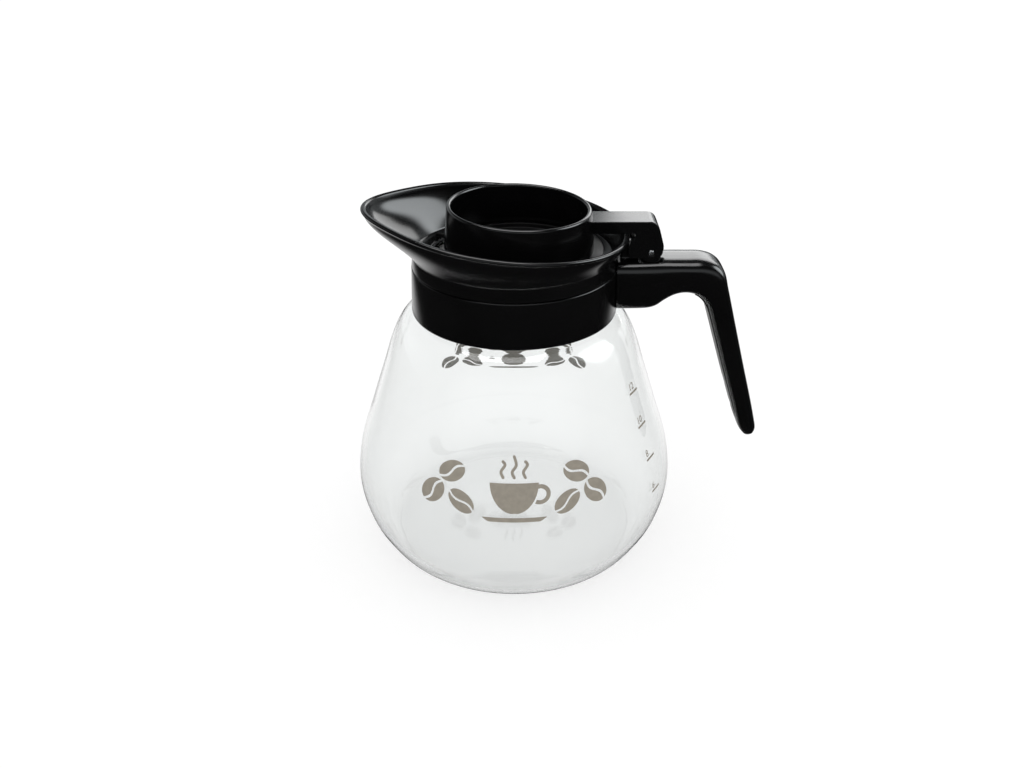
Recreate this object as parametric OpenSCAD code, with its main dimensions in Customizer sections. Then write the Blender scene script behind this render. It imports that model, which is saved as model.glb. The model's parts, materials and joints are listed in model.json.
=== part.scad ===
// Glass coffee decanter: a blown glass jug with a clamped plastic neck set, a
// pouring rim with a beak, a tube lid on a steel hinge pin and a hollow handle.
// The origin is the centre of the glass base, on the table. +Z is up, +X points
// to the handle and -X to the beak. All sizes are in millimetres.

/* [Glass jug] */
// Widest outer radius of the bowl
bowl_r = 80; // [78:0.5:82]
// Radius of the flat part of the base
base_r = 60; // [56:0.5:62]
// Wall thickness of the glass
glass_wall = 2.2; // [1.8:0.1:2.6]
// Outer radius of the straight neck
neck_r = 42.8; // [42.6:0.1:42.8]
// Height of the mouth of the glass
mouth_z = 151.5; // [151.3:0.1:151.6]

/* [Collar and clamp] */
// Outer radius of the collar at its lower edge
collar_r = 49.2; // [48.8:0.1:49.4]
// Height of the collar's lower edge
collar_low = 126.6; // [126.5:0.1:127]
// Height of the collar's upper edge
collar_top = 148.5; // [148:0.1:148.6]
// Radial thickness of the steel strap
band_t = 0.8; // [0.6:0.1:0.8]
// Height of the steel strap
band_h = 8; // [6:0.5:9]

/* [Pouring rim] */
// Radius of the dish at its foot
dish_r = 47.8; // [47.4:0.1:48]
// Radius of the dish's edge without its swells
edge_r = 51; // [50.6:0.1:51.4]
// How far the whole beak half of the dish swells outward
edge_swell = 10.8; // [9:0.2:11]
// How far the edge swells out under the lid's arm
heel_swell = 2.6; // [2:0.2:2.6]
// How far the pointed beak stands out of that swell
beak_len = 8.7; // [6:0.1:10]
// Half angle of the pointed beak
beak_angle = 21.5; // [19:0.5:24]
// Height of the dish's edge above the jug's centre
edge_z = 169.6; // [169:0.1:169.8]
// Rise of the edge towards the beak, per millimetre
edge_tilt = 0.1; // [0.1:0.005:0.11]
// Wall thickness of the dish
dish_wall = 1.8; // [1.6:0.1:2]

/* [Lid] */
// Outer radius of the lid tube at its upper edge
tube_r = 33.6; // [33:0.1:34]
// Height of the lid tube's upper edge above the jug's centre
tube_top = 176.4; // [175:0.2:177]
// Width of the lid's arm
arm_w = 15; // [14:0.5:15]
// Height of the top of the lid's arm
arm_top = 171; // [170.5:0.5:171]
// Radius of the drip hole in the lid's funnel
drip_r = 4; // [3:0.5:4.5]
// Lid opening angle shown, zero when closed
lid_open = 0; // [0:1:80]

/* [Hinge] */
// Distance of the hinge pin from the jug's axis
pin_x = 63.5; // [63:0.1:64]
// Height of the hinge pin
pin_z = 156; // [155.8:0.1:156.2]
// Radius of the hinge pin
pin_r = 1.5; // [1.5:0.1:1.8]

/* [Handle] */
// Width of the handle
handle_w = 23; // [22:0.5:24]
// Wall thickness of the hollow handle
handle_wall = 2.8; // [2.6:0.1:3]

/* [Hidden] */
$fn = 96;

black = [0.07, 0.07, 0.075];
soft_black = [0.12, 0.12, 0.12];
steel = [0.75, 0.76, 0.78];
tan = [0.58, 0.55, 0.5];

// Outer outline of the glass from the base to the neck, as [radius, height].
GLASS = [[base_r, 0], [67, 3.6], [72, 10.5], [77, 21], [bowl_r, 36.5], [77.9, 54.5],
         [71.4, 75], [64.5, 96], [59.6, 111], [54.4, 121], [47.5, 126.2],
         [44, 129.6], [neck_r, 133.5], [neck_r, 140], [neck_r, 147]];
bead_r = 2;             // radius of the rolled bead at the mouth
bead_ring = neck_r - 0.6;

skirt_low = 146;        // lower end of the rim's skirt around the mouth bead
foot_z = 155.4;         // height at which the dish starts to flare out
ledge_z = 153.9;        // ledge of the pouring rim, on which the lid rests
ledge_r = 40;           // inner radius of that ledge
lid_gap = 0.3;          // gap between the closed lid and what it covers
band_z = 140;           // height of the strap's middle
ear_x = 54.5;           // distance of the strap's screw from the axis
ear_y = 2.6;            // inner face of each ear
ear_len = 13;           // length of each ear outside the strap's ring
screw_r = 1.95;         // the clamp screw's shank, for M4
tube_x = 2.3;           // the lid tube sits a little towards the handle
tube_low_r = 35;        // the tube's radius at its lower end
tube_low = 150;         // height of the tube's lower end
lid_tilt = 0.035;       // fall of the tube's edge towards the handle
flange_r = 42;          // the lid's flange over the mouth
flange_t = 2.2;
notch_w = 36;           // width of the flange's pouring notch
cheek_gap = 3.9;        // half of the gap between the hinge cheeks
web_r = 11;             // reach of the cheeks' webs from the pin, inside the dish's edge
web_z = 153.2;          // height of the webs' lower edge
barrel_r = 5;           // radius of the cheeks around the pin
lug_r = 4.6;            // radius of the handle's lug around the pin
swing_r = 7.3;          // pocket radius that the lid's heel turns in
run_fit = 0.06;         // radial play of the turning pin
title_z = 69;           // height of the front decoration's middle
back_title_z = 67;      // height of the back decoration's middle
level_angle = -29.5;    // direction of the level scale, from +X
LEVELS = [46.4, 63, 79.6, 96.2];

// Matched points along the handle: [inner x, inner z, outer x, outer z].
HANDLE = [[46, 128, 46, 151.4], [54, 127.8, 54, 151.5], [62.5, 128, 62, 151.8],
          [67, 129.2, 66.5, 152], [71, 132.2, 70.5, 152.1], [75.5, 134.8, 75, 152.1],
          [80, 135.8, 81.5, 152.1], [84.4, 135.2, 88.6, 152], [87.8, 133.2, 94.6, 150.2],
          [90.4, 130, 98.9, 145.8], [92.2, 126.2, 101.6, 137], [96.4, 113.4, 107, 118],
          [102.4, 94.6, 113, 97], [108, 77.8, 118.4, 78.4], [111.6, 67.4, 121.6, 66.6],
          [114, 61.4, 122.8, 61.2], [116.8, 57.4, 122, 57.4]];

// One point of a smooth curve that passes through p1 and p2.
function knot(p0, p1, p2, p3, t) =
    (2 * p1 + (p2 - p0) * t + (2 * p0 - 5 * p1 + 4 * p2 - p3) * t * t
     + (3 * p1 - p0 - 3 * p2 + p3) * t * t * t) / 2;

// A smooth curve through all the points, with n steps between neighbours.
function smooth(p, n) = let (last = len(p) - 1) concat(
    [for (i = [0 : last - 1], k = [0 : n - 1])
        knot(p[max(i - 1, 0)], p[i], p[i + 1], p[min(i + 2, last)], k / n)],
    [p[last]]);

// An outline moved sideways by d, to the left of its direction.
function moved(p, d) = let (last = len(p) - 1) [for (i = [0 : last])
    let (v = p[min(i + 1, last)] - p[max(i - 1, 0)])
        p[i] + d * [-v[1], v[0]] / norm(v)];

function reverse(p) = [for (i = [len(p) - 1 : -1 : 0]) p[i]];
function bezier(a, b, c, d, t) =
    pow(1 - t, 3) * a + 3 * t * pow(1 - t, 2) * b + 3 * t * t * (1 - t) * c + pow(t, 3) * d;

// Edge of the dish at angle a from the beak.
function edge_radius(a) = edge_r + edge_swell * pow((1 + cos(a)) / 2, 3)
    + heel_swell * pow((1 - cos(a)) / 2, 2) + beak_len * exp(-pow(a / beak_angle, 2));
function edge_height(a) = edge_z + edge_tilt * edge_radius(a) * cos(a);

// Curve of the dish's wall from its foot to its edge, moved inward by d.
function dish_curve(a, d, foot, n) = let (r0 = dish_r - d, r1 = edge_radius(a) - 0.8 - d,
    z1 = edge_height(a)) [for (k = [0 : n])
    bezier([r0, foot], [r0 + 0.35 * (r1 - r0), foot + 0.38 * (z1 - foot)],
           [r1, foot + 0.6 * (z1 - foot)], [r1, z1], k / n)];

// Closed section of the pouring rim at angle a: skirt, wall, bead, ledge.
function rim_section(a) = let (r = edge_radius(a), z = edge_height(a),
    outer = dish_curve(a, 0, foot_z, 8), inner = dish_curve(a, dish_wall, ledge_z, 8)) concat(
    [[45.4, skirt_low], [45.4, collar_top + 0.4], [dish_r + 0.5, collar_top + 0.4], [dish_r, foot_z - 0.5]],
    [for (k = [0 : 7]) outer[k]],
    [[r - 0.8, z - 2.2], [r, z - 1.6], [r, z - 0.5], [r - 0.6, z], [r - 1.9, z], [r - 2.5, z - 0.5]],
    [for (k = [7 : -1 : 0]) inner[k]],
    [[ledge_r, ledge_z], [ledge_r, ledge_z - 1], [44.5, ledge_z - 1], [44.5, skirt_low]]);

// Solid through a loop of equal rings of points, the last joined to the first.
module loop_loft(rings) {
    n = len(rings);
    m = len(rings[0]);
    polyhedron([for (r = rings, p = r) p],
               [for (i = [0 : n - 1], j = [0 : m - 1],
                     f = [[i * m + j, i * m + (j + 1) % m, ((i + 1) % n) * m + j],
                          [i * m + (j + 1) % m, ((i + 1) % n) * m + (j + 1) % m, ((i + 1) % n) * m + j]]) f],
               convexity = 8);
}

// Ring of rectangular section around the jug's axis.
module ring(r_in, r_out, z_low, z_high) {
    translate([0, 0, z_low]) difference() {
        cylinder(r = r_out, h = z_high - z_low);
        translate([0, 0, -1]) cylinder(r = r_in, h = z_high - z_low + 2);
    }
}

// Cylinder along Y through x, z, between two y values.
module along_y(x, z, y_low, y_high, r) {
    translate([x, y_low, z]) rotate([-90, 0, 0]) cylinder(r = r, h = y_high - y_low);
}

// Plate in the XZ plane between two y values.
module plate_y(y_low, y_high) {
    translate([0, y_high, 0]) rotate([90, 0, 0]) linear_extrude(y_high - y_low) children();
}

module block(low, high) {
    translate(low) cube(high - low);
}

// The glass's outer outline, moved outward by d.
function glass_line(d) = moved(smooth(GLASS, 4), -d);

module glass_bowl() {
    outer = glass_line(0);
    inner = glass_line(-glass_wall);
    color([0.88, 0.93, 0.94, 0.35]) {
        rotate_extrude()
            polygon(concat([[0, 0]], outer, [[neck_r, mouth_z - bead_r]],
                           [[neck_r - glass_wall, mouth_z - bead_r]], reverse(inner), [[0, glass_wall]]));
        rotate_extrude() translate([bead_ring, mouth_z - bead_r]) circle(r = bead_r, $fn = 32);
    }
}

module neck_gasket() {
    color("dimgray") ring(neck_r + 0.05, neck_r + 1.1, band_z - 5.5, band_z + 5.5);
}

module clamp_band() {
    r_in = neck_r + 1.2;
    low = band_z - band_h / 2;
    color(steel) difference() {
        union() {
            difference() {
                ring(r_in, r_in + band_t, low, low + band_h);
                block([0, -ear_y, low - 1], [60, ear_y, low + band_h + 1]);
            }
            for (side = [-1, 1])
                block([r_in - 0.1, side > 0 ? ear_y : -ear_y - band_t, low],
                      [r_in + ear_len, side > 0 ? ear_y + band_t : -ear_y, low + band_h]);
        }
        along_y(ear_x, band_z, -9, 9, screw_r + 0.25);
    }
}

module band_screw() {
    color(steel) difference() {
        union() {
            along_y(ear_x, band_z, -8, 8.2, screw_r);
            along_y(ear_x, band_z, 8.2, 10.6, 3.4);
        }
        translate([ear_x, 9.4, band_z]) rotate([-90, 0, 0]) cylinder(r = 1.7, h = 3, $fn = 6);
    }
}

module band_washer() {
    color(steel) difference() {
        along_y(ear_x, band_z, 7.5, 8.2, 3.9);
        along_y(ear_x, band_z, 7, 9, screw_r + 0.1);
    }
}

module band_nut() {
    color(steel) difference() {
        translate([ear_x, -ear_y - band_t - 3.2, band_z])
            rotate([-90, 0, 0]) cylinder(r = 4, h = 3.2, $fn = 6);
        along_y(ear_x, band_z, -9, 0, screw_r);
    }
}

module collar() {
    top_r = dish_r + 0.6;
    color(black) difference() {
        rotate_extrude() polygon([
            [collar_r - 1.3, collar_low], [collar_r - 0.4, collar_low], [collar_r, collar_low + 0.6],
            [top_r, collar_top - 0.5], [top_r - 0.5, collar_top],
            [45.6, collar_top], [45.6, 129.6]]);
        block([40, -5, 133], [60, 5, 147]);
    }
}

module rim_seal() {
    color("dimgray") ring(40.6, 44.1, mouth_z, ledge_z - 1);
}

module pouring_rim() {
    steps = 72;
    color(black) loop_loft([for (i = [0 : steps - 1])
        let (a = (i + 0.5) * 360 / steps - 180)
            [for (p = rim_section(a)) [-p[0] * cos(a), p[0] * sin(a), p[1]]]]);
}

// Side outline of the lid's arm and of its hinge cheeks, whose webs close the corner.
module arm_side() {
    heel_x = pin_x + 5.9;
    polygon(concat(
        [[30, arm_top - 5.8], [pin_x - 8, arm_top - 5.8]],
        [for (a = [135 : 15 : 180]) [pin_x + web_r * cos(a), pin_z + web_r * sin(a)]],
        [[pin_x - web_r + 0.4, web_z], [pin_x - 4.2, web_z], [pin_x, pin_z], [pin_x + 4.2, pin_z - 2.7],
         [heel_x - 0.6, pin_z - 0.4], [heel_x - 0.2, pin_z + 3], [pin_x + 3, arm_top - 3.4],
         [pin_x + 1.6, arm_top - 1], [pin_x - 0.6, arm_top], [30, arm_top]]));
    translate([pin_x, pin_z]) circle(r = barrel_r);
}

module lid_tube() {
    flange_low = ledge_z + lid_gap;
    color(black) difference() {
        union() {
            intersection() {
                translate([tube_x, 0, 0]) rotate_extrude() polygon([
                    [0, tube_low], [tube_low_r - 0.4, tube_low], [tube_low_r, tube_low + 0.4],
                    [tube_low_r, 158], [tube_r, tube_top + 4], [0, tube_top + 4]]);
                translate([0, 0, tube_top]) rotate([0, atan(lid_tilt), 0])
                    translate([-60, -60, -60]) cube([120, 120, 60]);
            }
            difference() {
                translate([0, 0, flange_low]) cylinder(r = flange_r, h = flange_t);
                block([-60, -notch_w / 2, 150], [-30, notch_w / 2, 160]);
            }
            plate_y(-arm_w / 2, arm_w / 2) arm_side();
        }
        translate([tube_x, 0, tube_low - 1])
            cylinder(r1 = tube_low_r - 1.9, r2 = tube_r - 1.6, h = tube_top - tube_low + 6);
        block([50, -cheek_gap, 140], [80, cheek_gap, pin_z + 6.4]);
        along_y(pin_x, pin_z, -10, 10, pin_r);
    }
}

module drip_funnel() {
    color(soft_black) translate([tube_x, 0, 0]) difference() {
        rotate_extrude() polygon([
            [drip_r, 141], [drip_r + 1.6, 141], [drip_r + 2, 148.5], [31, 152.2], [32.8, 152.2],
            [32.8, 156.5], [31.2, 156.5], [31, 154.4], [drip_r + 1, 150.6], [drip_r, 149.8]]);
        for (a = [45 : 90 : 315])
            rotate([0, 0, a]) translate([drip_r - 1, -1, 140]) cube([4, 2, 3]);
    }
}

module hinge_pin() {
    half = arm_w / 2 + 0.15;
    color(steel) {
        along_y(pin_x, pin_z, -half, half, pin_r);
    }
}

// Edge of the handle's side outline: the inner one, or the outer one.
function handle_edge(outer) = smooth([for (p = HANDLE) outer ? [p[2], p[3]] : [p[0], p[1]]], 2);

// Solid handle: stacked plates that step in towards both faces, as [half width, inset].
module handle_body() {
    for (step = [[handle_w / 2 - 3.6, 0], [handle_w / 2 - 1.5, 0.9], [handle_w / 2, 2.4]])
        plate_y(-step[0], step[0])
            polygon(concat(moved(handle_edge(false), step[1]), reverse(moved(handle_edge(true), -step[1]))));
}

// Hollow of the handle, open on its inner side.
module handle_hollow() {
    inner = handle_edge(false);
    outer = moved(handle_edge(true), -handle_wall);
    plate_y(-handle_w / 2 + handle_wall, handle_w / 2 - handle_wall)
        polygon(concat([for (i = [12 : 28]) outer[i]], [[107, 69], [80, 126]],
                       [for (i = [13 : -1 : 12]) inner[i] - [0, 3]]));
}

// Directions for the two cover screws: [inner edge point, angle about Y].
function cover_spots() = let (e = handle_edge(false)) [for (i = [17, 25])
    let (v = e[i + 1] - e[i - 1]) [e[i], atan2(v[1], -v[0]) + 180]];

module at_spot(s) {
    translate([s[0][0], 0, s[0][1]]) rotate([0, s[1], 0]) children();
}

// Side outline of the hinge lug: a rib from just behind the dish to the pin.
module lug_side() {
    translate([pin_x, pin_z]) circle(r = lug_r);
    polygon([[49.9, 145], [49.9, foot_z + 0.4], [51, foot_z + 2.6], [53.2, pin_z + lug_r - 0.2],
             [pin_x, pin_z + lug_r], [pin_x, pin_z], [pin_x + lug_r, pin_z], [pin_x + lug_r, 145]]);
}

module handle() {
    lug = cheek_gap - 0.4;
    color(black) difference() {
        union() {
            handle_body();
            plate_y(-lug, lug) lug_side();
        }
        difference() {
            handle_hollow();
            for (s = cover_spots()) at_spot(s) translate([0, 0, 2.6]) cylinder(r = 3, h = 12);
        }
        for (side = [-1, 1])
            along_y(pin_x, pin_z, side > 0 ? lug : -8, side > 0 ? 8 : -lug, swing_r);
        translate([0, 0, 100]) cylinder(r = collar_r + 0.15, h = 80);
        block([40, -8.4, 133.5], [61, ear_y + band_t + 0.2, 146.5]);
        along_y(ear_x, band_z, 0, 7.5, screw_r + 0.3);
        along_y(ear_x, band_z, 7.5, 20, 4);
        along_y(pin_x, pin_z, -10, 10, pin_r + run_fit);
        for (s = cover_spots()) at_spot(s) translate([0, 0, 1]) cylinder(r = 1.1, h = 5.8);
    }
}

module handle_cover() {
    inner = handle_edge(false);
    skin = moved(inner, 2.4);
    half_w = handle_w / 2 - handle_wall - 0.15;
    color(soft_black) difference() {
        plate_y(-half_w, half_w)
            polygon(concat([for (i = [14 : 27]) inner[i]], [for (i = [27 : -1 : 14]) skin[i]]));
        for (s = cover_spots()) at_spot(s) {
            translate([0, 0, -1]) cylinder(r = 1.4, h = 6);
            translate([0, 0, -0.2]) cylinder(r1 = 2.9, r2 = 1.4, h = 1.7);
        }
    }
}

module cover_screws() {
    color(steel) for (s = cover_spots()) at_spot(s) {
        cylinder(r = 1.1, h = 6.6);
        cylinder(r1 = 2.6, r2 = 1.1, h = 1.5);
    }
}

// Flat drawings for the enamel decoration.
module bean(x, y, turn) {
    translate([x, y]) rotate(turn) difference() {
        scale([1, 0.68]) circle(r = 6.4, $fn = 40);
        for (side = [-1, 1])
            translate([side * 3, side * -0.4]) rotate(side > 0 ? 180 : 0) intersection() {
                difference() {
                    circle(r = 3.2, $fn = 32);
                    circle(r = 2.4, $fn = 32);
                }
                translate([-4, 0]) square([8, 4]);
            }
    }
}

module cup() {
    difference() {
        union() {
            intersection() {
                translate([0, 3]) scale([1, 1.25]) circle(r = 11, $fn = 48);
                translate([-12, -11]) square([24, 14]);
            }
            translate([11, -2]) circle(r = 5, $fn = 32);
        }
        translate([12, -2]) circle(r = 2.8, $fn = 32);
    }
    translate([-15, -14.2]) square([30, 2]);
    for (x = [-5, 0, 5])
        translate([x, 5]) square([1.5, x == 0 ? 10 : 7.5]);
}

module decoration() {
    cup();
    for (side = [-1, 1]) {
        bean(side * 24, -7, side * 35);
        bean(side * 28, 5.5, side * -30);
        bean(side * 37, -5, side * -50);
    }
}

// A flat drawing wrapped on the glass, on the side of angle a.
module printed(a, low, high) {
    skin = [for (d = [0.02, 0.22]) [for (p = glass_line(d)) if (p[1] > low - 6 && p[1] < high + 6) p]];
    last = len(skin[0]) - 1;
    color(tan) intersection() {
        rotate_extrude($fn = 128) polygon(concat(skin[1], reverse(skin[0])));
        rotate([0, 0, a]) rotate([90, 0, 90]) linear_extrude(100) children();
    }
}

module front_print() {
    printed(-90, 50, 88) translate([0, title_z]) decoration();
}

module back_print() {
    printed(90, 48, 86) translate([0, back_title_z]) decoration();
}

module level_scale() {
    printed(level_angle, 40, 102) for (z = LEVELS)
        translate([-4, z - 0.5]) square([8, 1]);
}

module lid_swing() {
    translate([pin_x, 0, pin_z]) rotate([0, lid_open, 0]) translate([-pin_x, 0, -pin_z]) children();
}

glass_bowl();
neck_gasket();
clamp_band();
band_screw();
band_washer();
band_nut();
collar();
rim_seal();
pouring_rim();
lid_swing() lid_tube();
lid_swing() drip_funnel();
lid_swing() hinge_pin();
handle();
handle_cover();
cover_screws();
front_print();
back_print();
level_scale();
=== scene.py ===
import json
import math

import bmesh
import bpy
from mathutils import Matrix, Vector


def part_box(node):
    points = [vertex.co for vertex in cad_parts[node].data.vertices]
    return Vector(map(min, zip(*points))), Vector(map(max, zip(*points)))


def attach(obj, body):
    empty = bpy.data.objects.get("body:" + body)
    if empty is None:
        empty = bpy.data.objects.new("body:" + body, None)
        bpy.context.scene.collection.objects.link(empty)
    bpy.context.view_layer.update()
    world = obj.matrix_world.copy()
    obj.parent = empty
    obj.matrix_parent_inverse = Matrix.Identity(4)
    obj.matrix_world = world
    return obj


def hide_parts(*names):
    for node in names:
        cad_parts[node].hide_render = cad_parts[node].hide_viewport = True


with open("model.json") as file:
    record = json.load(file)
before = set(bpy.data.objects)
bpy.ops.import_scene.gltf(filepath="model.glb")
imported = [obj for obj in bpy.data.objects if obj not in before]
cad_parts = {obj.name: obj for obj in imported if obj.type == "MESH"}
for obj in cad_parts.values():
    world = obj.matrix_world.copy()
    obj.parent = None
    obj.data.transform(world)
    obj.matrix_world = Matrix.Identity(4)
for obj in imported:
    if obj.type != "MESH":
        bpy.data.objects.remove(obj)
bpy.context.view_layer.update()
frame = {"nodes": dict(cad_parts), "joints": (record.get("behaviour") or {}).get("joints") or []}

# Sizes are in millimetres, as in the CAD source; meshes are made in metres.
MM = 0.001
GLASS_LOW, GLASS_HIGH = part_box("glass_bowl")
COLLAR_LOW, COLLAR_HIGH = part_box("collar")
PIN_LOW, PIN_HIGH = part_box("hinge_pin")
HANDLE_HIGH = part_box("handle")[1]
HINGE = frame["joints"][0]["pos_m"]

BOWL_R = (GLASS_HIGH.y - GLASS_LOW.y) / 2 / MM
MOUTH_Z = GLASS_HIGH.z / MM
COLLAR_R = (COLLAR_HIGH.y - COLLAR_LOW.y) / 2 / MM
COLLAR_BOTTOM = COLLAR_LOW.z / MM
COLLAR_TOP = COLLAR_HIGH.z / MM
PIN_X = HINGE[0] / MM
PIN_Z = HINGE[2] / MM
PIN_R = (PIN_HIGH.z - PIN_LOW.z) / 2 / MM
PIN_HALF = PIN_HIGH.y / MM
HANDLE_HALF = HANDLE_HIGH.y / MM

GLASS_WALL = 2.2
NECK_R = 42.8
BEAD_R = 2.0
DISH_R = 47.8
EDGE_R = 51.0
EDGE_SWELL = 10.8
HEEL_SWELL = 2.6
BEAK_LEN = 8.7
BEAK_ANGLE = 21.5
EDGE_Z = 169.6
EDGE_TILT = 0.1
FOOT_Z = 155.4
DISH_WALL = 1.8
LEDGE_Z = 153.9
LEDGE_R = 40.0
TUBE_X = 2.3
TUBE_R = 33.6
TUBE_LOW_R = 35.0
TUBE_LOW = 150.0
TUBE_TOP = 176.4
LIP_R = 1.1
LID_TILT = 0.035
FLANGE_R = 42.0
FLANGE_LOW = 154.2
FLANGE_T = 2.2
NOTCH_HALF = 18.0
ARM_HALF = 7.5
ARM_TOP = 171.0
WEB_R = 11.0
WEB_Z = 153.2
CHEEK_GAP = 3.9
BARREL_R = 5.0
LUG_R = 4.6
LUG_HALF = 3.5
SWING_R = 7.3
PIN_CLEARANCE = 0.06
PIN_DOME = 0.9
COLLAR_INNER_R = 45.7
COLLAR_INNER_Z = 129.6
WINDOW_HALF = 5.0
FUNNEL_R = 32.75
FUNNEL_LOW = 141.0
FUNNEL_HIGH = 156.5
DRIP_R = 4.0
SCREW_X = 54.5
SCREW_Z = 140.0
SCREW_SEAT = 7.5
SCREW_HEAD_R = 4.0
SADDLE_GAP = 0.7
HANDLE_STEPS = 8
COVER_START = 7 * HANDLE_STEPS
COVER_END = 14 * HANDLE_STEPS
COVER_HALF = 8.5
FRONT_PRINT_Z = 69.0
BACK_PRINT_Z = 67.0
SCALE_ANGLE = -29.5
SIDE_GLOW_AIM = (0.857, 0.111, 0.503)
FLOOR_GLOW_SPOT = (0.0, 0.28, 0.0)
LEVELS = ((46.4, "6"), (63.0, "8"), (79.6, "10"), (96.2, "12"))

# Outer outline of the glass above its foot, as (radius, height).
GLASS = ((61.5, 0.0), (67.2, 3.6), (72.0, 10.5), (77.0, 21.0), (BOWL_R, 36.5), (77.9, 54.5),
         (71.4, 75.0), (64.5, 96.0), (59.6, 111.0), (54.4, 121.0), (47.5, 126.2), (44.0, 129.6),
         (NECK_R, 133.5), (NECK_R, 140.0), (NECK_R, 145.5))

# Matched points along the handle: (inner x, inner z, outer x, outer z).
HANDLE = ((46, 128, 46, 151.4), (54, 127.8, 54, 151.5), (62.5, 128, 62, 151.8),
          (67, 129.2, 66.5, 152), (71, 132.2, 70.5, 152.1), (75.5, 134.8, 75, 152.1),
          (80, 135.8, 81.5, 152.1), (84.4, 135.2, 88.6, 152), (87.8, 133.2, 94.6, 150.2),
          (90.4, 130, 98.9, 145.8), (92.2, 126.2, 101.6, 137), (96.4, 113.4, 107, 118),
          (102.4, 94.6, 113, 97), (108, 77.8, 118.4, 78.4), (111.6, 67.4, 121.6, 66.6),
          (114, 61.4, 122.8, 61.2), (116.8, 57.4, 122, 57.4))


# ---------------------------------------------------------------- outlines

def smooth(points, steps):
    """A smooth curve through all the points, with that many steps between neighbours."""
    points = [Vector(p) for p in points]
    last = len(points) - 1
    out = []
    for i in range(last):
        a, b = points[max(i - 1, 0)], points[i]
        c, d = points[i + 1], points[min(i + 2, last)]
        for k in range(steps):
            t = k / steps
            out.append((2 * b + (c - a) * t + (2 * a - 5 * b + 4 * c - d) * t ** 2
                        + (3 * b - a - 3 * c + d) * t ** 3) / 2)
    return out + [points[last]]


def moved(points, distance):
    """An outline moved sideways, to the left of its direction."""
    last = len(points) - 1
    out = []
    for i, p in enumerate(points):
        along = points[min(i + 1, last)] - points[max(i - 1, 0)]
        out.append(p + distance * Vector((-along.y, along.x)) / along.length)
    return out


def rounded(points, radius, steps=4, closed=True):
    """An outline with its corners rounded off. An open one keeps its two ends."""
    points = [Vector(p) for p in points]
    out = []
    for i, p in enumerate(points):
        if not closed and i in (0, len(points) - 1):
            out.append(p)
            continue
        before, after = points[i - 1] - p, points[(i + 1) % len(points)] - p
        cut_a = min(radius, before.length * 0.45)
        cut_b = min(radius, after.length * 0.45)
        a, b = p + before.normalized() * cut_a, p + after.normalized() * cut_b
        for k in range(steps + 1):
            t = k / steps
            out.append((1 - t) ** 2 * a + 2 * t * (1 - t) * p + t ** 2 * b)
    return out


def arc(x, y, radius, start, end, steps):
    """Points of a circle between two angles in degrees."""
    turn = (end - start) / steps
    return [Vector((x + radius * math.cos(math.radians(start + k * turn)),
                    y + radius * math.sin(math.radians(start + k * turn)))) for k in range(steps + 1)]


def bezier(a, b, c, d, t):
    s = 1 - t
    return s ** 3 * Vector(a) + 3 * s * s * t * Vector(b) + 3 * s * t * t * Vector(c) + t ** 3 * Vector(d)


# ------------------------------------------------------------------ meshes

def make(name, points, faces, flat=False):
    """A mesh object from points in millimetres, with outward normals."""
    mesh = bpy.data.meshes.new(name)
    mesh.from_pydata([Vector(p) * MM for p in points], [], faces)
    tidy(mesh)
    mesh.polygons.foreach_set("use_smooth", [not flat] * len(mesh.polygons))
    piece = bpy.data.objects.new(name, mesh)
    bpy.context.scene.collection.objects.link(piece)
    return piece


def tidy(mesh):
    work = bmesh.new()
    work.from_mesh(mesh)
    bmesh.ops.remove_doubles(work, verts=work.verts, dist=1e-7)
    bmesh.ops.recalc_face_normals(work, faces=work.faces)
    work.to_mesh(mesh)
    work.free()


def loft(name, rings, loop=False):
    """A closed solid through equal rings of points. With loop, the rings meet end to end."""
    count, size = len(rings), len(rings[0])
    faces = []
    for i in range(count if loop else count - 1):
        here, there = i * size, (i + 1) % count * size
        for j in range(size):
            k = (j + 1) % size
            faces.append((here + j, here + k, there + k, there + j))
    if not loop:
        faces.append(tuple(range(size)))
        faces.append(tuple((count - 1) * size + j for j in range(size)))
    return make(name, [p for ring in rings for p in ring], faces)


def revolve(name, outline, x=0.0, segments=192):
    """A solid of revolution about the upright line at x, from a closed outline of (radius, height)."""
    rings = []
    for i in range(segments):
        a = 2 * math.pi * i / segments
        rings.append([(x + p[0] * math.cos(a), p[0] * math.sin(a), p[1]) for p in outline])
    return loft(name, rings, loop=True)


def along_y(name, x, z, low, high, radius, segments=64):
    rings = []
    for y in (low, high):
        rings.append([(x + radius * math.cos(2 * math.pi * k / segments), y,
                       z + radius * math.sin(2 * math.pi * k / segments)) for k in range(segments)])
    return loft(name, rings)


def plate(name, outline, half, middle=0.0):
    """An upright plate of that outline in x and z, and of twice the half width in y."""
    return loft(name, [[(p[0], middle + y, p[1]) for p in outline] for y in (-half, half)])


def apply(piece):
    """Applies a piece's modifiers."""
    bpy.context.view_layer.update()
    graph = bpy.context.evaluated_depsgraph_get()
    mesh = bpy.data.meshes.new_from_object(piece.evaluated_get(graph))
    old = piece.data
    piece.modifiers.clear()
    piece.data = mesh
    mesh.name = piece.name
    bpy.data.meshes.remove(old)


def combine(piece, others, operation):
    """Adds the other solids to a piece, or cuts them out of it, and removes them."""
    for other in others:
        step = piece.modifiers.new("step", "BOOLEAN")
        step.operation = operation
        step.solver = "EXACT"
        step.object = other
        apply(piece)
        bpy.data.objects.remove(other)


def moulded(piece, voxel, passes):
    """Turns a built-up solid into one skin with softly rounded edges, as a moulding has."""
    remesh = piece.modifiers.new("skin", "REMESH")
    remesh.mode = "VOXEL"
    remesh.voxel_size = voxel * MM
    remesh.use_smooth_shade = True
    ease = piece.modifiers.new("ease", "SMOOTH")
    ease.factor = 0.5
    ease.iterations = passes
    apply(piece)
    piece.data.polygons.foreach_set("use_smooth", [True] * len(piece.data.polygons))


# --------------------------------------------------------------- materials

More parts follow.
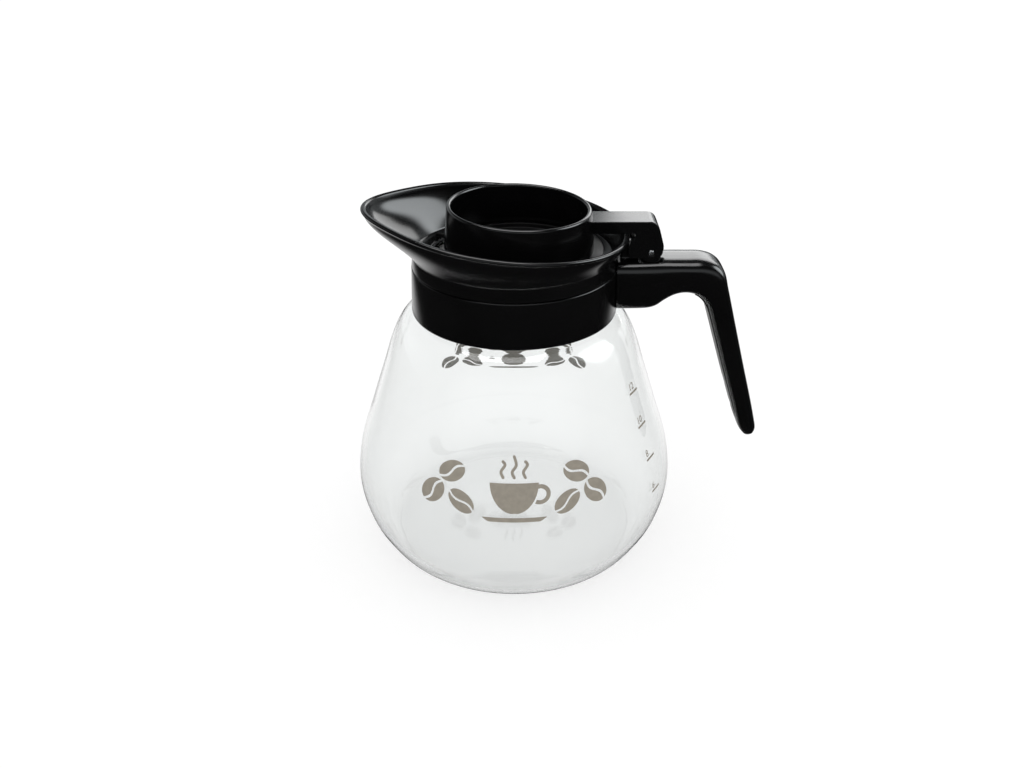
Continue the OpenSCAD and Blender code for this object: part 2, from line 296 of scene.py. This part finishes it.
def nodes_of(name):
    material = bpy.data.materials.new(name)
    material.use_nodes = True
    tree = material.node_tree
    return material, tree, tree.nodes["Principled BSDF"]


def noise(tree, scale, detail=4.0, stretch=(1, 1, 1)):
    """A noise texture in object space, stretched along the axes."""
    place = tree.nodes.new("ShaderNodeTexCoord")
    turn = tree.nodes.new("ShaderNodeMapping")
    turn.inputs["Scale"].default_value = stretch
    texture = tree.nodes.new("ShaderNodeTexNoise")
    texture.inputs["Scale"].default_value = scale
    texture.inputs["Detail"].default_value = detail
    tree.links.new(place.outputs["Object"], turn.inputs["Vector"])
    tree.links.new(turn.outputs["Vector"], texture.inputs["Vector"])
    return texture.outputs["Fac"]


def spread(tree, value, low, high):
    """Maps a noise value from its middle range to low..high."""
    ramp = tree.nodes.new("ShaderNodeMapRange")
    ramp.inputs["From Min"].default_value = 0.3
    ramp.inputs["From Max"].default_value = 0.7
    ramp.inputs["To Min"].default_value = low
    ramp.inputs["To Max"].default_value = high
    tree.links.new(value, ramp.inputs["Value"])
    return ramp.outputs["Result"]


def ramp(tree, value, start, end, low, high):
    """A soft step from low to high as the value goes from start to end."""
    step = tree.nodes.new("ShaderNodeMapRange")
    step.interpolation_type = "SMOOTHSTEP"
    step.inputs["From Min"].default_value = start
    step.inputs["From Max"].default_value = end
    step.inputs["To Min"].default_value = low
    step.inputs["To Max"].default_value = high
    tree.links.new(value, step.inputs["Value"])
    return step.outputs["Result"]


def tinted(tree, value, dark, light):
    """A colour between dark and light, by a noise value."""
    ramp = tree.nodes.new("ShaderNodeValToRGB")
    ramp.color_ramp.elements[0].position = 0.3
    ramp.color_ramp.elements[1].position = 0.7
    ramp.color_ramp.elements[0].color = (*dark, 1)
    ramp.color_ramp.elements[1].color = (*light, 1)
    tree.links.new(value, ramp.inputs["Fac"])
    return ramp.outputs["Color"]


def bumped(tree, shader, value, strength, distance):
    bump = tree.nodes.new("ShaderNodeBump")
    bump.inputs["Strength"].default_value = strength
    bump.inputs["Distance"].default_value = distance
    tree.links.new(value, bump.inputs["Height"])
    tree.links.new(bump.outputs["Normal"], shader.inputs["Normal"])


def plastic(name, dark, light, rough_low, rough_high, grain, shine):
    """Moulded black plastic with faint colour change, handling haze and a fine moulded grain."""
    material, tree, shader = nodes_of(name)
    tree.links.new(tinted(tree, noise(tree, 35), dark, light), shader.inputs["Base Color"])
    tree.links.new(spread(tree, noise(tree, 60, 6), rough_low, rough_high), shader.inputs["Roughness"])
    shader.inputs["Specular IOR Level"].default_value = shine
    bumped(tree, shader, noise(tree, 900, 3), grain, 0.0001)
    return material


def clear_glass():
    """Blown borosilicate: clear, with a faint waviness."""
    material, tree, shader = nodes_of("glass")
    tree.links.new(tinted(tree, noise(tree, 14), (0.945, 0.955, 0.952), (0.96, 0.968, 0.965)),
                   shader.inputs["Base Color"])
    shader.inputs["Transmission Weight"].default_value = 1.0
    shader.inputs["IOR"].default_value = 1.47
    shader.inputs["Roughness"].default_value = 0.0
    bumped(tree, shader, noise(tree, 22, 1, (1, 1, 0.5)), 0.12, 0.0006)
    return material


def steel():
    """Polished stainless steel with fine drawn lines."""
    material, tree, shader = nodes_of("steel")
    lines = noise(tree, 300, 4, (1, 1, 12))
    tree.links.new(tinted(tree, lines, (0.6, 0.61, 0.63), (0.8, 0.81, 0.83)), shader.inputs["Base Color"])
    tree.links.new(spread(tree, lines, 0.16, 0.3), shader.inputs["Roughness"])
    shader.inputs["Metallic"].default_value = 1.0
    bumped(tree, shader, lines, 0.05, 0.0001)
    return material


def silicone():
    """Dark silicone rubber with a dusty bloom."""
    material, tree, shader = nodes_of("silicone")
    tree.links.new(tinted(tree, noise(tree, 90), (0.05, 0.05, 0.052), (0.085, 0.085, 0.09)),
                   shader.inputs["Base Color"])
    tree.links.new(spread(tree, noise(tree, 200), 0.5, 0.7), shader.inputs["Roughness"])
    bumped(tree, shader, noise(tree, 1200), 0.1, 0.0001)
    return material


def enamel():
    """Fired enamel: warm grey, a little patchy where the screen laid it thinner."""
    material, tree, shader = nodes_of("enamel")
    tree.links.new(tinted(tree, noise(tree, 400, 6), (0.25, 0.225, 0.185), (0.3, 0.27, 0.22)),
                   shader.inputs["Base Color"])
    tree.links.new(spread(tree, noise(tree, 700), 0.35, 0.55), shader.inputs["Roughness"])
    bumped(tree, shader, noise(tree, 1500), 0.15, 0.00005)
    return material


BLACK_GLOSS = plastic("black_gloss", (0.0012, 0.0012, 0.0013), (0.0022, 0.0022, 0.0024),
                      0.14, 0.2, 0.01, 0.5)
BLACK_SATIN = plastic("black_satin", (0.002, 0.002, 0.002), (0.005, 0.005, 0.0053),
                      0.3, 0.42, 0.08, 0.15)
SLOTS = {"glass": clear_glass(), "black_gloss": BLACK_GLOSS, "black_satin": BLACK_SATIN,
         "silicone": silicone(), "steel": steel(), "enamel": enamel()}


def place(piece, body, slot, *stands_for):
    """Gives a piece its material, and fixes it to its body in place of CAD nodes."""
    piece.data.materials.clear()
    piece.data.materials.append(SLOTS[slot])
    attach(piece, body)
    if stands_for:
        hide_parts(*stands_for)
    return piece


# ------------------------------------------------------------- glass bowl

def glass_outer():
    return smooth(GLASS, 8)


def build_glass():
    outer = glass_outer()
    inner = moved(outer, GLASS_WALL)
    foot = [Vector(p) for p in ((0, 1.9), (30, 1.8), (46, 1.3), (54, 0.6), (58.5, 0.1))]
    floor = [Vector(p) for p in ((0, 4.3), (30, 4.2), (46, 3.7), (54, 3.0), (58.5, 2.4))]
    bead_z = MOUTH_Z - BEAD_R
    mouth = arc(NECK_R - 0.6, bead_z, BEAD_R, -40, 180, 20)
    outline = (smooth(foot, 6)[:-1] + outer + mouth
               + [p for p in reversed(inner) if p.y > 2.5] + list(reversed(smooth(floor, 6))))
    points, faces, rows = [], [], []
    segments = 256
    for p in outline:
        if p.x < 1e-6:
            rows.append([len(points)])
            points.append((0, 0, p.y))
            continue
        rows.append([len(points) + k for k in range(segments)])
        for k in range(segments):
            a = 2 * math.pi * k / segments
            points.append((p.x * math.cos(a), p.x * math.sin(a), p.y))
    for low, high in zip(rows, rows[1:]):
        for k in range(segments):
            n = (k + 1) % segments
            if len(low) == 1:
                faces.append((low[0], high[n], high[k]))
            elif len(high) == 1:
                faces.append((low[k], low[n], high[0]))
            else:
                faces.append((low[k], low[n], high[n], high[k]))
    place(make("glass", points, faces), "body", "glass", "glass_bowl")


# ----------------------------------------------------------- neck and rim

def build_collar():
    outline = rounded([
        (COLLAR_R - 1.3, COLLAR_BOTTOM), (COLLAR_R, COLLAR_BOTTOM), (DISH_R + 0.6, COLLAR_TOP),
        (COLLAR_INNER_R, COLLAR_TOP), (COLLAR_INNER_R, COLLAR_INNER_Z)], 0.5)
    collar = revolve("collar_sleeve", outline, segments=224)
    window = plate("window", [(40, 133), (60, 133), (60, 147), (40, 147)], WINDOW_HALF)
    combine(collar, [window], "DIFFERENCE")
    place(collar, "body", "black_gloss", "collar")


def edge_radius(angle):
    turn = math.cos(math.radians(angle))
    swell = EDGE_SWELL * ((1 + turn) / 2) ** 3 + HEEL_SWELL * ((1 - turn) / 2) ** 2
    return EDGE_R + swell + BEAK_LEN * math.exp(-(angle / BEAK_ANGLE) ** 2)


def edge_height(angle):
    return EDGE_Z + EDGE_TILT * edge_radius(angle) * math.cos(math.radians(angle))


def dish_curve(angle, inset, foot, steps):
    """The dish's wall from its foot to its edge."""
    r0, r1 = DISH_R - inset, edge_radius(angle) - 0.8 - inset
    z1 = edge_height(angle)
    return [bezier((r0, foot), (r0 + 0.35 * (r1 - r0), foot + 0.38 * (z1 - foot)),
                   (r1, foot + 0.6 * (z1 - foot)), (r1, z1), k / steps) for k in range(steps + 1)]


def rim_section(angle):
    r, z = edge_radius(angle), edge_height(angle)
    outer = dish_curve(angle, -0.3, FOOT_Z, 28)
    inner = dish_curve(angle, DISH_WALL, LEDGE_Z, 28)
    bead = arc(r - 0.95, z - 0.95, 0.95, -50, 130, 12)
    lip = [(r - 2.2, z - 0.25), (r - 2.55, z - 0.9)]
    skirt = rounded([(LEDGE_R + 2, LEDGE_Z), (LEDGE_R, LEDGE_Z), (LEDGE_R, LEDGE_Z - 1),
                     (44.5, LEDGE_Z - 1), (44.5, 146), (45.4, 146), (45.4, COLLAR_TOP + 0.4),
                     (DISH_R + 0.5, COLLAR_TOP + 0.4), (DISH_R, FOOT_Z - 0.7),
                     (DISH_R + 0.1, FOOT_Z - 0.1)], 0.4, 3, closed=False)
    return outer[:26] + bead + [Vector(p) for p in lip] + list(reversed(inner[:26])) + skirt


def build_rim():
    segments = 288
    rings = []
    for i in range(segments):
        angle = (i + 0.5) * 360 / segments - 180
        c, s = math.cos(math.radians(angle)), math.sin(math.radians(angle))
        rings.append([(-p.x * c, p.x * s, p.y) for p in rim_section(angle)])
    place(loft("pouring_dish", rings, loop=True), "body", "black_gloss", "pouring_rim")


# --------------------------------------------------------------------- lid

def build_tube():
    """The open tube, with a rounded lip and an edge that falls a little towards the handle."""
    lip = arc(TUBE_R - LIP_R, TUBE_TOP - LIP_R, LIP_R, 0, 180, 16)
    outline = ([Vector((TUBE_LOW_R - 1.9, TUBE_LOW)), Vector((TUBE_LOW_R - 0.5, TUBE_LOW)),
                Vector((TUBE_LOW_R, TUBE_LOW + 0.5)), Vector((TUBE_LOW_R, 158.0)),
                Vector((34.3, 167.0))] + lip + [Vector((TUBE_R - 1.4, 167.0))])
    tube = revolve("lid_body", outline, x=TUBE_X, segments=224)
    for v in tube.data.vertices:
        share = min(max((v.co.z / MM - 160) / (TUBE_TOP - 160), 0), 1)
        v.co.z -= LID_TILT * v.co.x * share
    place(tube, "lid", "black_gloss", "lid_tube")


def build_flange():
    """The flange that covers the mouth, open in front of the beak."""
    section = rounded([(33.6, FLANGE_LOW), (FLANGE_R, FLANGE_LOW), (FLANGE_R, FLANGE_LOW + FLANGE_T),
                       (33.6, FLANGE_LOW + FLANGE_T)], 0.6)
    start = math.asin(NOTCH_HALF / FLANGE_R)
    steps = 160
    rings = []
    for k in range(steps + 1):
        a = math.pi + start + k * (2 * math.pi - 2 * start) / steps
        rings.append([(p.x * math.cos(a), p.x * math.sin(a), p.y) for p in section])
    place(loft("lid_flange", rings), "lid", "black_satin")


def arm_outline():
    """Side outline of the arm: its web closes the corner between the dish and the pin."""
    heel = PIN_X + 5.9
    return ([(33.4, ARM_TOP - 5.8), (PIN_X - 8, ARM_TOP - 5.8)]
            + arc(PIN_X, PIN_Z, WEB_R, 135, 180, 5)
            + [(PIN_X - WEB_R + 0.4, WEB_Z), (PIN_X - 4.2, WEB_Z)]
            + arc(PIN_X, PIN_Z, BARREL_R, 222, 318, 8)
            + [(heel - 0.6, PIN_Z - 0.4), (heel - 0.2, PIN_Z + 3), (PIN_X + 3.2, ARM_TOP - 3.4),
               (PIN_X + 2, ARM_TOP - 1.2), (PIN_X - 0.2, ARM_TOP), (33.4, ARM_TOP)])


def build_arm():
    """The lid's arm, which ends in two cheeks around the hinge lug."""
    arm = plate("lid_arm", rounded(arm_outline(), 1.2), ARM_HALF)
    slot = plate("slot", [(48, 140), (80, 140), (80, PIN_Z + 6.4), (48, PIN_Z + 6.4)], CHEEK_GAP)
    bore = along_y("bore", PIN_X, PIN_Z, -10, 10, PIN_R)
    combine(arm, [slot, bore], "DIFFERENCE")
    moulded(arm, 0.3, 8)
    place(arm, "lid", "black_gloss")


def build_funnel():
    outline = rounded([
        (DRIP_R, FUNNEL_LOW), (DRIP_R + 1.6, FUNNEL_LOW), (DRIP_R + 2, 148.5), (31, 152.2),
        (FUNNEL_R, 152.2), (FUNNEL_R, FUNNEL_HIGH), (31.2, FUNNEL_HIGH), (31, 154.4),
        (DRIP_R + 1, 150.6), (DRIP_R, 149.8)], 0.4)
    funnel = revolve("funnel", outline, x=TUBE_X, segments=160)
    place(funnel, "lid", "black_satin", "drip_funnel")


def build_pin():
    """The steel pin, with both ends domed."""
    profile = []
    for end, side in ((-PIN_HALF, 1), (PIN_HALF, -1)):
        for k in range(9):
            a = math.radians(90 * k / 8)
            y = end + side * PIN_DOME * (1 - math.sin(a))
            profile.append((y, PIN_R - PIN_DOME * (1 - math.cos(a))))
    circles = []
    for y, r in sorted(profile):
        circles.append([(PIN_X + r * math.cos(math.pi * k / 24), y, PIN_Z + r * math.sin(math.pi * k / 24))
                        for k in range(48)])
    place(loft("steel_pin", circles), "lid", "steel", "hinge_pin")


# ------------------------------------------------------------------ handle

def handle_edges():
    inner = smooth([(p[0], p[1]) for p in HANDLE], HANDLE_STEPS)
    outer = smooth([(p[2], p[3]) for p in HANDLE], HANDLE_STEPS)
    return inner, outer


def box_ring(inner, outer, half, square, size=56):
    """A rounded box between an inner and an outer point of the handle's side outline."""
    ring = []
    for k in range(size):
        a = 2 * math.pi * k / size
        u = math.copysign(abs(math.cos(a)) ** square, math.cos(a))
        v = math.copysign(abs(math.sin(a)) ** square, math.sin(a))
        p = (inner + outer) / 2 + v * (outer - inner) / 2
        ring.append((p.x, half * u, p.y))
    return ring


def build_handle():
    """The handle moulding with its hinge lug, its bores and the recess for its cover."""
    inner, outer = handle_edges()
    last = len(inner) - 1
    rings = []
    for i in range(last + 1):
        along = i / last
        tip = max(0.0, (i - last + 3 * HANDLE_STEPS) / (3 * HANDLE_STEPS))
        half = HANDLE_HALF - 0.4 * along - 3.6 * tip ** 2.5
        rings.append(box_ring(inner[i], outer[i], half, 0.38 + 0.12 * min(1, along * 2.5)))
    rings.append(box_ring(Vector((117.7, 56.5)), Vector((121.3, 56.6)), HANDLE_HALF - 5, 0.5))
    rings.append(box_ring(Vector((118.6, 56.0)), Vector((120.4, 56.1)), HANDLE_HALF - 6.5, 0.55))
    handle = loft("handle_shell", rings)
    side = [(PIN_X + LUG_R, 145), *arc(PIN_X, PIN_Z, LUG_R, 0, 90, 12), (53.2, PIN_Z + LUG_R - 0.2),
            (51, FOOT_Z + 2.6), (49.9, FOOT_Z + 0.4), (49.9, 145)]
    lug = plate("lug", side, LUG_HALF)
    combine(handle, [lug], "UNION")
    swing = [along_y("swing", PIN_X, PIN_Z, low, high, SWING_R)
             for low, high in ((LUG_HALF, 8), (-8, -LUG_HALF))]
    gap_r = DISH_R + SADDLE_GAP
    saddle = revolve("saddle", [(0, 100), (COLLAR_R, 100), (COLLAR_R, COLLAR_BOTTOM),
                                (gap_r, COLLAR_TOP), (gap_r, 180), (0, 180)])
    head_bore = along_y("head_bore", SCREW_X, SCREW_Z, SCREW_SEAT, 20, SCREW_HEAD_R)
    pin_bore = along_y("pin_bore", PIN_X, PIN_Z, -10, 10, PIN_R + PIN_CLEARANCE)
    outside = [p + Vector((0, -3)) for p in inner[COVER_START:COVER_END]]
    inside = moved(inner, 1.2)[COVER_START:COVER_END]
    recess = plate("recess", outside + list(reversed(inside)), COVER_HALF + 0.2)
    combine(handle, swing + [saddle, head_bore, pin_bore, recess], "DIFFERENCE")
    moulded(handle, 0.4, 5)
    place(handle, "body", "black_gloss", "handle")


def build_cover():
    """The inner strip that closes the handle, bent along its inner edge."""
    inner = handle_edges()[0]
    skin, back = moved(inner, 0.15), moved(inner, 2.2)
    rings = [box_ring(skin[i], back[i], COVER_HALF, 0.25, 32)
             for i in range(COVER_START + 2, COVER_END - 2)]
    place(loft("cover_strip", rings), "body", "black_satin", "handle_cover")


# ------------------------------------------------------------- decoration

def ellipse(x, y, rx, ry, turn=0.0, start=0, end=360, steps=48):
    """Points of a turned ellipse between two angles in degrees."""
    c, s = math.cos(math.radians(turn)), math.sin(math.radians(turn))
    out = []
    for k in range(steps + (end - start < 360)):
        a = math.radians(start + (end - start) * k / steps)
        u, v = rx * math.cos(a), ry * math.sin(a)
        out.append(Vector((x + u * c - v * s, y + u * s + v * c)))
    return out


def bean(x, y, turn):
    """A coffee bean: two halves with a curved crease between them."""
    c, s = math.cos(math.radians(turn)), math.sin(math.radians(turn))
    length, width, gap = 6.4, 4.4, 0.5
    halves = []
    for side in (1, -1):
        edge = [Vector((length * math.cos(t), width * side * math.sin(t)))
                for t in [math.radians(5 + 170 * k / 28) for k in range(29)]]
        crease = []
        for k in range(25):
            u = -0.97 + 1.94 * k / 24
            crease.append(Vector((length * u, 0.9 * math.sin(math.pi * u) + side * gap)))
        loop = edge + crease
        halves.append([[Vector((x + p.x * c - p.y * s, y + p.x * s + p.y * c)) for p in loop]])
    return halves


def ribbon(points, width):
    """A closed outline around a line of points, with round ends."""
    line = smooth(points, 6)
    left, right = moved(line, width / 2), moved(line, -width / 2)
    first, final = line[0], line[-1]
    start = math.degrees(math.atan2(*(line[1] - first).yx))
    end = math.degrees(math.atan2(*(final - line[-2]).yx))
    cap_a = arc(first.x, first.y, width / 2, start + 90, start + 270, 6)[1:-1]
    cap_b = arc(final.x, final.y, width / 2, end - 90, end + 90, 6)[1:-1]
    return [right + cap_b + list(reversed(left)) + cap_a]


def cup():
    """A cup with its ear, saucer and steam."""
    bowl = [Vector((-11, 3)), *ellipse(0, 3, 11, 13.6, start=180, end=360, steps=36)[1:-1], Vector((11, 3))]
    bowl = [Vector((p.x, max(p.y, -10.4))) for p in bowl]
    ear = [ellipse(11.6, -2.2, 4.8, 4.4, 0, -118, 118, 30)
           + list(reversed(ellipse(11.6, -2.2, 2.9, 2.6, 0, -118, 118, 30)))]
    saucer = [rounded([(-15, -12.4), (15, -12.4), (12, -14.4), (-12, -14.4)], 0.8)]
    steam = [ribbon([(x, 5.5), (x - 0.9, 8), (x + 0.9, 11), (x, 13 + rise)], 1.3)
             for x, rise in ((-5, -0.5), (0, 1.8), (5, -0.5))]
    return [[bowl], ear, saucer, *steam]


def decoration(height):
    """The cup with its beans, its middle at that height."""
    shapes = cup()
    for side in (-1, 1):
        for x, y, turn in ((24, -7, 35), (28, 5.5, -30), (37, -5, -50)):
            shapes += bean(side * x, y, side * turn)
    return [[[p + Vector((0, height)) for p in loop] for loop in shape] for shape in shapes]


def glass_radius(z):
    """Outer radius of the glass at that height."""
    line = glass_outer()
    for a, b in zip(line, line[1:]):
        if a.y <= z <= b.y:
            return a.x + (b.x - a.x) * (z - a.y) / (b.y - a.y)
    return BOWL_R


def wrapped(name, flat, angle):
    """A flat drawing in millimetres, cut finely and laid on the glass on the side of that angle."""
    grid = 1.2
    xs = [v.co.x for v in flat.verts]
    ys = [v.co.y for v in flat.verts]
    for low, high, axis in ((min(xs), max(xs), Vector((1, 0, 0))), (min(ys), max(ys), Vector((0, 1, 0)))):
        for k in range(1, int((high - low) / grid) + 1):
            everything = flat.verts[:] + flat.edges[:] + flat.faces[:]
            bmesh.ops.bisect_plane(flat, geom=everything, plane_co=axis * (low + k * grid), plane_no=axis)
    bmesh.ops.triangulate(flat, faces=flat.faces)
    side = Vector((math.cos(math.radians(angle)), math.sin(math.radians(angle)), 0))
    right = Vector((-side.y, side.x, 0))
    for v in flat.verts:
        u, z = v.co.x, v.co.y
        reach = math.sqrt(glass_radius(z) ** 2 - u ** 2) + 0.03
        v.co = (right * u + side * reach + Vector((0, 0, z))) * MM
    flat.normal_update()
    for face in flat.faces:
        if face.normal.dot(side) < 0:
            face.normal_flip()
    mesh = bpy.data.meshes.new(name)
    flat.to_mesh(mesh)
    flat.free()
    piece = bpy.data.objects.new(name, mesh)
    bpy.context.scene.collection.objects.link(piece)
    skin = piece.modifiers.new("thickness", "SOLIDIFY")
    skin.thickness = 0.1 * MM
    skin.offset = 1
    apply(piece)
    return piece


def filled(shapes):
    """A flat bmesh of filled outlines; a shape is a list of loops."""
    flat = bmesh.new()
    for shape in shapes:
        edges = []
        for loop in shape:
            verts = [flat.verts.new((p.x, p.y, 0)) for p in loop]
            edges += [flat.edges.new((verts[i - 1], verts[i])) for i in range(len(verts))]
        bmesh.ops.triangle_fill(flat, edges=edges, use_beauty=True)
    return flat


def digits(text, x, y, height):
    """The flat mesh of a number, its left end at x and its foot at y."""
    curve = bpy.data.curves.new("digits", "FONT")
    curve.body = text
    curve.size = height * 1.4
    curve.resolution_u = 3
    mark = bpy.data.objects.new("digits", curve)
    bpy.context.scene.collection.objects.link(mark)
    bpy.context.view_layer.update()
    graph = bpy.context.evaluated_depsgraph_get()
    mesh = bpy.data.meshes.new_from_object(mark.evaluated_get(graph))
    mesh.transform(Matrix.Translation((x, y, 0)))
    bpy.data.objects.remove(mark)
    return mesh


def build_prints():
    front, back = filled(decoration(FRONT_PRINT_Z)), filled(decoration(BACK_PRINT_Z))
    place(wrapped("front_motif", front, -90), "body", "enamel", "front_print")
    place(wrapped("back_motif", back, 90), "body", "enamel", "back_print")
    ticks = [[rounded([(-4, z - 0.45), (4, z - 0.45), (4, z + 0.45), (-4, z + 0.45)], 0.3)]
             for z, _ in LEVELS]
    flat = filled(ticks)
    for z, text in LEVELS:
        number = digits(text, -3.6, z + 1.4, 3.4)
        flat.from_mesh(number)
        bpy.data.meshes.remove(number)
    place(wrapped("level_marks", flat, SCALE_ANGLE), "body", "enamel", "level_scale")


# ----------------------------------------------------------------- studio

def reflection_switch(tree):
    """1 for rays mirrored by a glossy surface, else 0, also for rays that pass through glass."""
    path = tree.nodes.new("ShaderNodeLightPath")
    return combined(tree, path.outputs["Is Glossy Ray"], path.outputs["Is Reflection Ray"], "MULTIPLY")


def build_world():
    """White all round, but reflections see a dim room, pale low down behind, in front and far right."""
    world = bpy.data.worlds.new("studio")
    bpy.context.scene.world = world
    world.use_nodes = True
    tree = world.node_tree
    tree.nodes.clear()
    links = tree.links
    white = tree.nodes.new("ShaderNodeBackground")
    white.inputs["Color"].default_value = (1, 1, 1, 1)
    white.inputs["Strength"].default_value = 1.07
    room = tree.nodes.new("ShaderNodeBackground")
    where = tree.nodes.new("ShaderNodeTexCoord")
    split = tree.nodes.new("ShaderNodeSeparateXYZ")
    links.new(where.outputs["Generated"], split.inputs["Vector"])
    behind = ramp(tree, split.outputs["Y"], -0.3, 0.6, 0.02, 0.6)
    ahead = ramp(tree, split.outputs["Y"], -0.9, -0.4, 0.8, 0.0)
    low = ramp(tree, split.outputs["Z"], 0.25, 0.55, 1.0, 0.1)
    band = combined(tree, combined(tree, behind, ahead, "ADD"), low, "MULTIPLY")
    aim = tree.nodes.new("ShaderNodeVectorMath")
    aim.operation = "DOT_PRODUCT"
    aim.inputs[1].default_value = SIDE_GLOW_AIM
    links.new(where.outputs["Generated"], aim.inputs[0])
    right = ramp(tree, aim.outputs["Value"], 0.91, 0.97, 0.0, 6.0)
    links.new(combined(tree, band, right, "ADD"), room.inputs["Strength"])
    room.inputs["Color"].default_value = (0.93, 0.98, 1, 1)
    mix = tree.nodes.new("ShaderNodeMixShader")
    links.new(reflection_switch(tree), mix.inputs["Fac"])
    links.new(white.outputs["Background"], mix.inputs[1])
    links.new(room.outputs["Background"], mix.inputs[2])
    output = tree.nodes.new("ShaderNodeOutputWorld")
    links.new(mix.outputs["Shader"], output.inputs["Surface"])


def combined(tree, a, b, operation):
    """The sum or product of two values."""
    step = tree.nodes.new("ShaderNodeMath")
    step.operation = operation
    tree.links.new(a, step.inputs[0])
    tree.links.new(b, step.inputs[1])
    return step.outputs["Value"]


def build_floor():
    """A plain pale floor that also glows a little. Reflections see it pale behind the jug only."""
    size = 8000
    floor = make("floor", [(-size, -size, 0), (size, -size, 0), (size, size, 0), (-size, size, 0)],
                 [(0, 1, 2, 3)], flat=True)
    material, tree, shader = nodes_of("floor_paper")
    tree.links.new(tinted(tree, noise(tree, 3), (0.3, 0.3, 0.3), (0.31, 0.31, 0.31)),
                   shader.inputs["Base Color"])
    shader.inputs["Roughness"].default_value = 1.0
    shader.inputs["Specular IOR Level"].default_value = 0.0
    shader.inputs["Emission Color"].default_value = (1, 1, 1, 1)
    shader.inputs["Emission Strength"].default_value = 0.72
    where = tree.nodes.new("ShaderNodeTexCoord")
    span = tree.nodes.new("ShaderNodeVectorMath")
    span.operation = "DISTANCE"
    span.inputs[1].default_value = FLOOR_GLOW_SPOT
    tree.links.new(where.outputs["Object"], span.inputs[0])
    glow = tree.nodes.new("ShaderNodeEmission")
    tree.links.new(ramp(tree, span.outputs["Value"], 0.2, 0.32, 0.85, 0.02), glow.inputs["Strength"])
    mix = tree.nodes.new("ShaderNodeMixShader")
    tree.links.new(reflection_switch(tree), mix.inputs["Fac"])
    tree.links.new(shader.outputs["BSDF"], mix.inputs[1])
    tree.links.new(glow.outputs["Emission"], mix.inputs[2])
    tree.links.new(mix.outputs["Shader"], tree.nodes["Material Output"].inputs["Surface"])
    floor.data.materials.append(material)


def soft_light(name, spot, size, glow, colour=(1, 1, 1)):
    """A rectangular soft box that faces the jug and is seen in reflections only."""
    data = bpy.data.lights.new(name, "AREA")
    data.shape = "RECTANGLE"
    data.size, data.size_y = size
    data.energy = glow * math.pi * size[0] * size[1]
    data.color = colour
    light = bpy.data.objects.new(name, data)
    bpy.context.scene.collection.objects.link(light)
    light.location = spot
    light.rotation_mode = "QUATERNION"
    light.rotation_quaternion = (Vector((0, 0, 0.15)) - Vector(spot)).to_track_quat("-Z", "Y")
    light.visible_camera = False
    light.visible_transmission = False
    light.visible_diffuse = False


def build_lights():
    soft_light("overhead_box", (-0.1, 0.0, 1.2), (0.8, 0.9), 4.5)
    soft_light("back_right_box", (0.5, 1.1, 0.62), (0.72, 0.5), 3.0)


def build_camera():
    data = bpy.data.cameras.new("camera")
    data.sensor_width = 36.0
    data.lens = 35.16
    data.clip_start = 0.01
    camera = bpy.data.objects.new("camera", data)
    bpy.context.scene.collection.objects.link(camera)
    camera.location = (-0.001, -0.4407, 0.3284)
    camera.rotation_euler = (math.radians(90 - 29.16), 0, 0)
    bpy.context.scene.camera = camera


def set_render_looks():
    scene = bpy.context.scene
    scene.view_settings.view_transform = "Standard"
    scene.cycles.max_bounces = 20
    scene.cycles.transmission_bounces = 18
    scene.cycles.glossy_bounces = 8
    scene.cycles.sample_clamp_indirect = 6.0


# The camera and the studio, then the object's pieces.
build_camera()
build_world()
build_floor()
build_lights()
set_render_looks()

build_glass()
build_collar()
build_rim()
build_tube()
build_flange()
build_arm()
build_funnel()
build_pin()
build_handle()
build_cover()
build_prints()

for node, slot in (("neck_gasket", "silicone"), ("rim_seal", "silicone"), ("clamp_band", "steel"),
                   ("band_screw", "steel"), ("band_washer", "steel"), ("band_nut", "steel"),
                   ("cover_screws", "steel")):
    carried = frame["nodes"][node]
    carried.data.materials.clear()
    carried.data.materials.append(SLOTS[slot])
